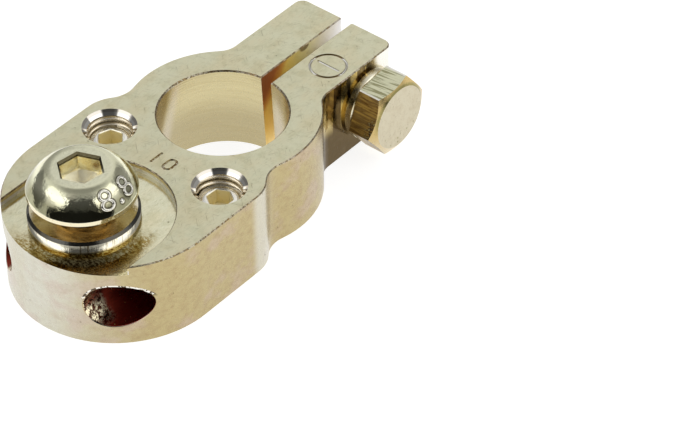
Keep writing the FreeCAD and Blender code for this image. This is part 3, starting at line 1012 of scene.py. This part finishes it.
@dataclass(frozen=True)
class BoltFinish:
    """Satin plating on the hexagon bolt, with the lines that its making left, and painted light and shade on
    its hexagon faces and bevel.
    """

    plate: Rgb = (0.64, 0.61, 0.42)
    cream: Rgb = (0.60, 0.545, 0.40)
    gold: Rgb = (0.58, 0.43, 0.18)
    brown: Rgb = (0.23, 0.125, 0.04)
    tan: Rgb = (0.46, 0.38, 0.24)
    pale: Rgb = (0.72, 0.62, 0.42)
    white: Rgb = (0.97, 0.95, 0.86)
    scab: Rgb = (0.09, 0.07, 0.075)
    light: Rgb = (0.82, 0.82, 0.58)
    dark: Rgb = (0.24, 0.22, 0.08)
    roughness: float = 0.22
    ring_step: float = 0.36
    bar_slant: float = 0.12

    def material(self, sizes: "ClampBolt") -> bpy.types.Material:
        """Build the bolt's material.

        Args:
            sizes: Where the bolt's features are.

        Returns:
            The material.
        """
        s = MetalShader("clamp_bolt_plating")
        radius = s.round_from(s.y, s.z, sizes.axis)
        head = s.x.rise(sizes.seat - 0.05, sizes.seat + 0.02)
        end = head * s.nx.rise(0.95, 0.98)
        bevel = head * s.nx.between(0.3, 0.93, 0.04)
        flat = head * abs(s.nx).rise(0.3, 0.1)
        shank = (1 - head) * radius.rise(3.1, 3.0)
        lines = s.grains((4.0, 0.22, 0.22), 4.0, 0.65)
        cloud = s.grains(2.2, 4.0, 0.6)
        speck = s.grains(0.3, rough=0.7)
        rings = (radius * (TURN / self.ring_step)).sine() * 0.5 + 0.5
        smears = s.grains((1.2, 0.7, 0.9), 5.0, 0.7)
        scab = s.grains(0.5, rough=0.7)
        lift = s.z - sizes.axis[1]
        up = s.nz.rise(0.5, 0.8)
        left = flat * s.ny.rise(-0.55, -0.85)
        corner = left * s.x.rise(sizes.seat + 2.0, sizes.seat + 3.2) * lift.rise(2.3, 1.1)
        worn = s.cells((0.8, 0.8, 0.8)).rise(0.24, 0.12) * lift.rise(-1.4, -3.0)
        seam = radius.rise(sizes.end_r + 0.5, sizes.end_r + 0.1) * smears.rise(0.36, 0.46)
        # The bevel turns pale towards its lower side, a painted reflection.
        rim = s.mixed(lift.rise(0.5, -3.5) * 0.8, self.gold, self.pale)
        rim = s.mixed(lift.rise(-1.0, 2.0) * seam * 0.8, rim, self.dark)
        lay = s.level(s.x + s.y * self.bar_slant, s.y - s.x * self.bar_slant)
        bars = s.noise(lay, (6.0, 0.30, 1.0), 2.0, 0.6) * up * flat
        streaks = flat * s.ny.rise(-0.3, -0.5) * s.grains((4.0, 0.34, 0.24), rough=0.6).rise(0.48, 0.56)
        colour = s.layered(
            self.plate,
            (cloud.rise(0.35, 0.7) * 0.6, self.gold),
            # The left flat is painted brown as shade.
            (left * (0.6 + cloud * 0.4), self.brown),
            (end, s.mixed(smears.rise(0.42, 0.7) * 0.4, self.cream, self.tan)),
            (bevel, rim),
            (end * worn * smears.rise(0.4, 0.5) * 0.7, self.dark),
            # The flats facing up are painted lighter as light.
            (flat * up * 0.9, self.light),
            (bars.rise(0.46, 0.55) * 0.75, self.dark),
        )
        colour = s.shaded(flat * lines.rise(0.45, 0.3) * 0.7 * s.nz.rise(0.6, 0.3), colour, self.brown)
        colour = s.layered(
            colour,
            (streaks * 0.9, self.gold),
            # A thin painted white highlight along the top flat's corner edges.
            (flat * radius.rise(5.58, 5.68) * up * 0.9, self.white),
            (corner * scab.rise(0.42, 0.5) * 0.9, self.scab),
            (corner * scab.rise(0.57, 0.62) * 0.8, self.light),
        )
        colour = s.shaded(speck.rise(0.6, 0.72) * 0.5, colour, self.brown)
        rough = self.roughness + flat * lines * 0.2 + end * 0.08 - bevel * 0.08 + speck * 0.06
        s.press(lines * flat, 0.02)
        s.press(rings * end, 0.004)
        s.press(smears * end, 0.03)
        s.press(cloud, 0.03)
        s.press(speck, 0.005)
        s.press(s.thread(s.y, s.z, s.x, sizes.axis, M6_PITCH) * shank, 0.3)
        return s.finish(colour, rough)


def dress(piece: bpy.types.Object, material: bpy.types.Material) -> None:
    """Give a piece its finish.

    Args:
        piece: The piece.
        material: Its material.
    """
    piece.data.materials.clear()
    piece.data.materials.append(material)
    LOG.info("%s gets %s", piece.name, material.name)


@dataclass
class ClampBody:
    """The split ring with its ears and tail."""

    top: float = 12.5
    floor: float = 11.3
    bore_r: float = 9.24
    grub_at: Pair = (9.4, -11.4)
    cable_at: Pair = (9.4, 6.1)
    cable_r: float = 3.25
    cone_r: float = 3.7
    grub_r: float = 3.0
    lug_at: Pair = (-0.5, -25.7)
    lug_r: float = 4.0
    polished_r: float = 9.0
    bolt_at: Pair = (19.65, 6.25)
    bolt_r: float = 3.0
    slit_half: float = 0.85
    slit_from: float = 8.0
    shoulder: Pair = (-10.6, -6.4)
    ear_root: Pair = (7.6, 20.9)
    recess_at: Pair = (0.3, -25.1)
    recess_half: float = 10.5
    minus_at: Pair = (4.425, 16.03)
    minus_r: float = 2.44
    mark_stroke: float = 0.36
    look: BodyFinish = field(default_factory=BodyFinish)

    def build(self, nodes: Mapping[str, bpy.types.Object]) -> None:
        """Dress the body."""
        dress(nodes["clamp_body"], self.look.material(self))


@dataclass
class LugScrew:
    """The domed screw on the tail, its raised strength number and the spring washer under it."""

    axis: Pair = (-0.5, -25.7)
    seat: float = 16.05
    head_height: float = 3.6
    rim_height: float = 0.6
    crown_r: float = 4.4
    ball_z: float = -2.957
    ball_r: float = 7.897
    mouth_r: float = 3.2
    bevel: float = 0.24
    floor_height: float = 1.1
    washer_r: float = 7.15
    washer_floor: float = 11.3
    washer_height: float = 2.0
    figure_turns: Pair = (75.0, 110.0)
    figure_slope: float = 48.0
    figure_loop: float = 0.62
    figure_widening: float = 1.2
    stroke: float = 0.38
    raise_by: float = 0.18
    point_turn: float = 93.0
    point_slope: float = 56.0
    point_r: float = 0.36
    point_sink: float = 0.02
    look: DomeFinish = field(default_factory=DomeFinish)
    washer: WasherFinish = field(default_factory=WasherFinish)
    figures: FigureFinish = field(default_factory=FigureFinish)

    def build(self, nodes: Mapping[str, bpy.types.Object]) -> None:
        """Dress the screw and its washer, and raise the number."""
        dress(nodes["lug_screw"], self.look.material(self))
        dress(nodes["lug_lock_washer"], self.washer.material("lug_washer_nickel", self))
        self.raise_number()

    def on_ball(self, turn: float, slope: float, height: float) -> Vector:
        """Find a place over the ball.

        Args:
            turn: The angle round the screw's axis from -Y towards +X, in radians.
            slope: The angle down from the axis, in radians.
            height: How far over the ball, in millimetres.

        Returns:
            The place, in millimetres.
        """
        out = Vector((math.sin(slope) * math.sin(turn), -math.sin(slope) * math.cos(turn), math.cos(slope)))
        return Vector((*self.axis, self.seat + self.ball_z)) + out * (self.ball_r + height)

    def raise_number(self) -> None:
        """Build the number 8.8 from round beads that lie on the ball, with its top towards the crown."""
        mesh = bpy.data.meshes.new("strength_number")
        work = bmesh.new()
        for turn in self.figure_turns:
            for lift in (self.figure_loop, -self.figure_loop):
                self.add_loop(work, math.radians(turn), lift)
        self.add_point(work)
        bmesh.ops.recalc_face_normals(work, faces=work.faces)
        for face in work.faces:
            face.smooth = True
        work.to_mesh(mesh)
        work.free()
        number = bpy.data.objects.new("strength_number", mesh)
        bpy.context.scene.collection.objects.link(number)
        dress(number, self.figures.material())
        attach(number, "lug_screw")

    def add_loop(
        self, work: bmesh.types.BMesh, turn: float, lift: float, around: int = 32, across: int = 10
    ) -> None:
        """Add one closed bead, half of an 8.

        Args:
            work: The mesh under construction.
            turn: The figure's angle round the screw.
            lift: How far up the slope the loop's middle is.
            around: How many steps go round the loop.
            across: How many steps go round the bead.
        """
        slope = math.radians(self.figure_slope)
        reach = self.ball_r * math.sin(slope)
        rings = []
        for step in range(around):
            way = TURN * step / around
            ring = []
            for part in range(across):
                lean = TURN * part / across
                out = self.figure_loop + math.cos(lean) * self.stroke / 2
                aside, up = out * math.cos(way) * self.figure_widening, lift + out * math.sin(way)
                height = math.sin(lean) * self.raise_by
                place = self.on_ball(turn + aside / reach, slope - up / self.ball_r, height)
                ring.append(work.verts.new(place * MM))
            rings.append(ring)
        for first, second in zip(rings, rings[1:] + rings[:1]):
            self.join(work, first, second)

    def add_point(self, work: bmesh.types.BMesh, around: int = 20, levels: int = 5) -> None:
        """Add the point as a small round button.

        Args:
            work: The mesh under construction.
            around: How many steps go round the button.
            levels: How many steps go up it.
        """
        turn, slope = math.radians(self.point_turn), math.radians(self.point_slope)
        reach = self.ball_r * math.sin(slope)
        rings = []
        for level in range(levels):
            lean = math.pi / 2 * level / levels
            out = self.point_r * math.cos(lean)
            ring = []
            for step in range(around):
                way = TURN * step / around
                aside, up = out * math.cos(way), out * math.sin(way)
                height = math.sin(lean) * self.raise_by - self.point_sink
                place = self.on_ball(turn + aside / reach, slope - up / self.ball_r, height)
                ring.append(work.verts.new(place * MM))
            rings.append(ring)
        for first, second in zip(rings, rings[1:]):
            self.join(work, first, second)
        work.faces.new(rings[-1])
        work.faces.new(rings[0][::-1])

    @staticmethod
    def join(
        work: bmesh.types.BMesh, first: list[bmesh.types.BMVert], second: list[bmesh.types.BMVert]
    ) -> None:
        """Skin two closed rows of points.

        Args:
            work: The mesh under construction.
            first: The first row.
            second: The second row, with as many points.
        """
        count = len(first)
        for here in range(count):
            after = (here + 1) % count
            work.faces.new((first[here], first[after], second[after], second[here]))


@dataclass
class GrubScrew:
    """One of the two screws that hold the cables."""

    side: Side
    reach: float = 9.4
    along: float = -11.4
    top: float = 10.6
    look: GrubFinish = field(default_factory=GrubFinish)

    @property
    def node(self) -> str:
        """The CAD node's name."""
        return f"grub_screw_{self.side.name.lower()}"

    @property
    def axis(self) -> Pair:
        """Where the screw's axis stands."""
        return self.side.value * self.reach, self.along

    def build(self, nodes: Mapping[str, bpy.types.Object]) -> None:
        """Dress the grub screw."""
        dress(nodes[self.node], self.look.material(self))


@dataclass
class ClampBolt:
    """The hexagon bolt through the ears and the spring washer under its head."""

    axis: Pair = (19.65, 6.25)
    seat: float = 9.6
    end_r: float = 4.6
    look: BoltFinish = field(default_factory=BoltFinish)
    washer: WasherFinish = field(default_factory=lambda: WasherFinish(roughness=0.16))

    def build(self, nodes: Mapping[str, bpy.types.Object]) -> None:
        """Dress the bolt and its washer."""
        dress(nodes["clamp_bolt"], self.look.material(self))
        dress(nodes["clamp_lock_washer"], self.washer.material("clamp_washer_nickel"))


@dataclass(frozen=True)
class Panel:
    """A light or dark panel far away, given by the direction of its middle and its half sizes, in degrees."""

    azimuth: float
    elevation: float
    half_width: float
    half_height: float
    brightness: float
    soft: float = 3.0


@dataclass
class Studio:
    """A white light table in a pale room, with light and dark soft panels round it."""

    table_size: float = 3.0
    table_drop: float = 0.02
    table_roughness: float = 0.6
    table_tint: Rgb = (0.45, 0.45, 0.445)
    table_glow: float = 0.86
    room: float = 0.90
    overhead: float = 0.34
    skyline: float = 0.85
    panels: tuple[Panel, ...] = (
        Panel(165, 22, 26, 22, 0.30, 8),
        Panel(-112, 22, 18, 22, 0.42, 8),
        Panel(-72, 10, 28, 18, 0.20, 8),
        Panel(45, 60, 44, 6, 0.32, 5),
        Panel(38, 22, 62, 17, 0.02, 5),
        Panel(45, 46, 34, 11, 0.07, 4),
        Panel(-30, 41, 24, 10.5, 1.6, 3),
        Panel(112, 43, 27, 11.5, 1.5, 3),
    )

    def build(self) -> None:
        """Lay the table and light the room."""
        self.lay_table()
        self.light_room()

    def lay_table(self) -> None:
        """Make the table top, which glows a little as a light table does."""
        half = self.table_size / 2
        corners = [(-half, -half, 0), (half, -half, 0), (half, half, 0), (-half, half, 0)]
        mesh = bpy.data.meshes.new("table_top")
        mesh.from_pydata(corners, [], [(0, 1, 2, 3)])
        table = bpy.data.objects.new("table_top", mesh)
        table.location.z = -self.table_drop * MM
        bpy.context.scene.collection.objects.link(table)
        material = bpy.data.materials.new("table_white")
        material.use_nodes = True
        s = Shader(material.node_tree)
        feeds: dict[int | str, Feed] = {
            "Base Color": (*self.table_tint, 1.0),
            "Roughness": self.table_roughness,
            "Emission Color": WHITE_LIGHT,
            "Emission Strength": self.table_glow,
        }
        top = s.node("ShaderNodeBsdfPrincipled", {}, feeds)
        s.node("ShaderNodeOutputMaterial", {}, {"Surface": top.outputs[0]})
        mesh.materials.append(material)

    def light_room(self) -> None:
        """Paint the room's light by direction."""
        world = bpy.data.worlds.new("studio")
        world.use_nodes = True
        bpy.context.scene.world = world
        s = Shader(world.node_tree)
        direction = s.node("ShaderNodeTexCoord", {}, {}).outputs["Generated"]
        height = s.spread(direction)[2]
        light = self.room + height.rise(0.75, 0.98) * (self.overhead - self.room)
        light = light + height.rise(0.12, 0.0) * (self.skyline - self.room)
        for panel in self.panels:
            share = self.panel_share(s, direction, panel)
            light = light * (1 - share) + share * panel.brightness
        glow = s.node("ShaderNodeBackground", {}, {"Color": WHITE_LIGHT, "Strength": light})
        s.node("ShaderNodeOutputWorld", {}, {"Surface": glow.outputs[0]})

    @staticmethod
    def panel_share(s: Shader, direction: Socket, panel: Panel) -> Value:
        """Find where a panel covers the room.

        Args:
            s: The world's shader.
            direction: The direction looked in.
            panel: The panel.

        Returns:
            1 on the panel and 0 off it.
        """
        turn, tilt = math.radians(panel.azimuth), math.radians(panel.elevation)
        middle = Vector((math.sin(turn) * math.cos(tilt), -math.cos(turn) * math.cos(tilt), math.sin(tilt)))
        right = Vector((math.cos(turn), math.sin(turn), 0.0))
        up = middle.cross(right) * -1
        ahead = s.along(direction, tuple(middle))
        wide = abs(s.along(direction, tuple(right))) / ahead.most(0.05)
        high = abs(s.along(direction, tuple(up))) / ahead.most(0.05)
        soft = math.tan(math.radians(panel.soft))
        reach = math.tan(math.radians(panel.half_width))
        rise = math.tan(math.radians(panel.half_height))
        inside = wide.rise(reach + soft, reach - soft) * high.rise(rise + soft, rise - soft)
        return inside * ahead.rise(0.0, 0.1)


@dataclass(frozen=True)
class PhotoCamera:
    """The photograph's camera, in degrees and millimetres."""

    place: Triple = (210.82, -229.54, 264.83)
    azimuth: float = 39.759
    elevation: float = 40.92
    roll: float = -0.389
    lens: float = 163.19
    sensor: float = 36.0

    def build(self) -> None:
        """Set the camera up."""
        a, e, r = math.radians(self.azimuth), math.radians(self.elevation), math.radians(self.roll)
        back = Vector((math.sin(a) * math.cos(e), -math.cos(a) * math.cos(e), math.sin(e)))
        level = Vector((math.cos(a), math.sin(a), 0.0))
        rise = back.cross(level)
        right = math.cos(r) * level + math.sin(r) * rise
        up = math.cos(r) * rise - math.sin(r) * level
        data = bpy.data.cameras.new("photo_camera")
        data.lens = self.lens
        data.sensor_width = self.sensor
        data.sensor_fit = "HORIZONTAL"
        data.clip_start = 0.01
        data.clip_end = 20.0
        camera = bpy.data.objects.new("photo_camera", data)
        turned = Matrix((right, up, back)).transposed().to_4x4()
        camera.matrix_world = Matrix.Translation(Vector(self.place) * MM) @ turned
        bpy.context.scene.collection.objects.link(camera)
        bpy.context.scene.camera = camera


def main() -> None:
    """Dress the clamp, light it and set up the camera."""
    logging.basicConfig(level=logging.INFO, format="%(message)s")
    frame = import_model()
    nodes: Mapping[str, bpy.types.Object] = frame["nodes"]
    PhotoCamera().build()
    Studio().build()
    for assembly in (ClampBody(), LugScrew(), GrubScrew(Side.LEFT), GrubScrew(Side.RIGHT), ClampBolt()):
        assembly.build(nodes)
    scene = bpy.context.scene
    scene.view_settings.view_transform = "Standard"
    scene.cycles.glossy_bounces = SLIT_BOUNCES


if __name__ == "__main__":
    main()
